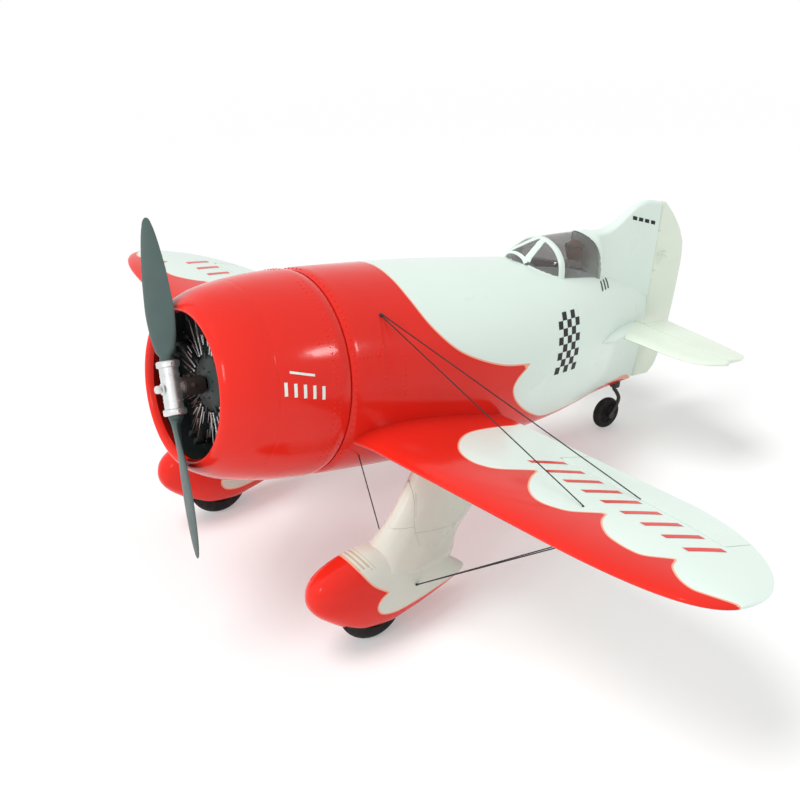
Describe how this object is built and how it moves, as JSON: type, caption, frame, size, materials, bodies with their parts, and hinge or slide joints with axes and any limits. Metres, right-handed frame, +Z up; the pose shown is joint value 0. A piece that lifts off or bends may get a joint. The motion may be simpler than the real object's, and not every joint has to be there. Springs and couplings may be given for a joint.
{
  "type": "radio-controlled model aircraft",
  "caption": "Barrel-bodied scale racing monoplane model with low wing, spatted gear, wire bracing, working tail and ailerons.",
  "frame": {"origin": "on the ground at the centre of the bounding box, the aircraft standing on its three wheels", "axes": "+X towards the aircraft's left wing tip, -Y where its nose points, +Z up from the ground"},
  "size_m": [0.9516, 0.663, 0.364],
  "materials": {
    "red_paint": "gloss red paint over moulded foam",
    "white_paint": "satin white paint over moulded foam",
    "two_tone_paint": "red and white scalloped paint, satin to gloss",
    "cream_paint": "satin cream white",
    "black_plastic": "moulded black plastic",
    "green_plastic": "dark grey-green moulded nylon",
    "alloy": "cast and machined alloy, satin",
    "steel": "ground steel",
    "copper_winding": "enamelled windings and laminations",
    "rubber": "soft black rubber",
    "plywood": "light plywood, unfinished",
    "battery_wrap": "blue shrink wrap",
    "servo_case": "translucent blue moulded case",
    "tinted_glass": "smoked clear plastic",
    "figure_paint": "hand painted figure, matt",
    "black_wire": "black braided line"
  },
  "bodies": {
    "airframe": {"fuselage": "two_tone_paint", "left_wing": "two_tone_paint", "right_wing": "two_tone_paint", "left_wheel_pant": "two_tone_paint", "right_wheel_pant": "two_tone_paint", "engine_cowl": "red_paint", "tail_fin": "white_paint", "stabilizer": "white_paint", "canopy_frame": "white_paint", "left_gear_leg": "cream_paint", "right_gear_leg": "cream_paint", "dummy_engine": "black_plastic", "cockpit_floor": "black_plastic", "instrument_panel": "black_plastic", "speed_controller": "black_plastic", "receiver": "black_plastic", "tail_wheel_bracket": "black_plastic", "motor_mount": "alloy", "wing_joiner_tube": "alloy", "left_axle": "steel", "right_axle": "steel", "left_gear_strut": "steel", "right_gear_strut": "steel", "motor_stator": "copper_winding", "firewall": "plywood", "battery_tray": "plywood", "servo_tray": "plywood", "rear_former": "plywood", "battery": "battery_wrap", "elevator_servo": "servo_case", "rudder_servo": "servo_case", "canopy_glass": "tinted_glass", "pilot_figure": "figure_paint", "left_upper_wires": "black_wire", "left_lower_wires": "black_wire", "left_inner_wire": "black_wire", "right_upper_wires": "black_wire", "right_lower_wires": "black_wire", "right_inner_wire": "black_wire"},
    "propeller": {"propeller_blade_upper": "green_plastic", "propeller_blade_lower": "green_plastic", "propeller_hub": "alloy", "propeller_nut": "steel", "propeller_shaft": "steel", "motor_bell": "steel"},
    "left_wheel": {"left_tyre": "rubber", "left_wheel_hub": "alloy"},
    "right_wheel": {"right_tyre": "rubber", "right_wheel_hub": "alloy"},
    "left_aileron": {"left_aileron": "two_tone_paint"},
    "right_aileron": {"right_aileron": "two_tone_paint"},
    "elevator": {"left_elevator": "white_paint", "right_elevator": "white_paint", "elevator_joiner": "steel"},
    "rudder": {"rudder": "white_paint"},
    "tail_fork": {"tail_wheel_fork": "black_plastic"},
    "tail_roller": {"tail_wheel": "rubber"},
    "battery_hatch": {"battery_hatch": "red_paint"}
  },
  "joints": [
    {"name": "propeller_spin", "type": "hinge", "parent": "airframe", "child": "propeller", "pos_m": [0, -0.30267, 0.23137], "axis": [0, 0.9782, -0.2077], "continuous": true},
    {"name": "left_wheel_roll", "type": "hinge", "parent": "airframe", "child": "left_wheel", "pos_m": [0.1405, -0.20616, 0.0325], "axis": [1, 0, 0], "continuous": true},
    {"name": "right_wheel_roll", "type": "hinge", "parent": "airframe", "child": "right_wheel", "pos_m": [-0.1405, -0.20616, 0.0325], "axis": [1, 0, 0], "continuous": true},
    {"name": "left_aileron_tilt", "type": "hinge", "parent": "airframe", "child": "left_aileron", "pos_m": [0.306, -0.04417, 0.14809], "axis": [0.9977, -0.0421, 0.0524], "range_deg": [-22, 22]},
    {"name": "right_aileron_tilt", "type": "hinge", "parent": "airframe", "child": "right_aileron", "pos_m": [-0.306, -0.04417, 0.14809], "axis": [0.9977, 0.0421, -0.0524], "range_deg": [-22, 22]},
    {"name": "elevator_tilt", "type": "hinge", "parent": "airframe", "child": "elevator", "pos_m": [0, 0.24523, 0.12426], "axis": [1, 0, 0], "range_deg": [-25, 25]},
    {"name": "rudder_swing", "type": "hinge", "parent": "airframe", "child": "rudder", "pos_m": [0, 0.2688, 0.11006], "axis": [0, 0.2077, 0.9782], "range_deg": [-28, 28]},
    {"name": "tail_wheel_steer", "type": "hinge", "parent": "airframe", "child": "tail_fork", "pos_m": [0, 0.22341, 0.01665], "axis": [0, 0.2077, 0.9782], "range_deg": [-28, 28]},
    {"name": "tail_wheel_roll", "type": "hinge", "parent": "tail_fork", "child": "tail_roller", "pos_m": [0, 0.21705, 0.018], "axis": [1, 0, 0], "continuous": true},
    {"name": "hatch_lift_off", "type": "slide", "parent": "airframe", "child": "battery_hatch", "axis": [0, -0.2077, -0.9782], "range_m": [0, 0.06]}
  ],
  "couplings": [
    {"joint": "right_aileron_tilt", "follows": "left_aileron_tilt", "ratio": -1},
    {"joint": "tail_wheel_steer", "follows": "rudder_swing", "ratio": 1}
  ]
}
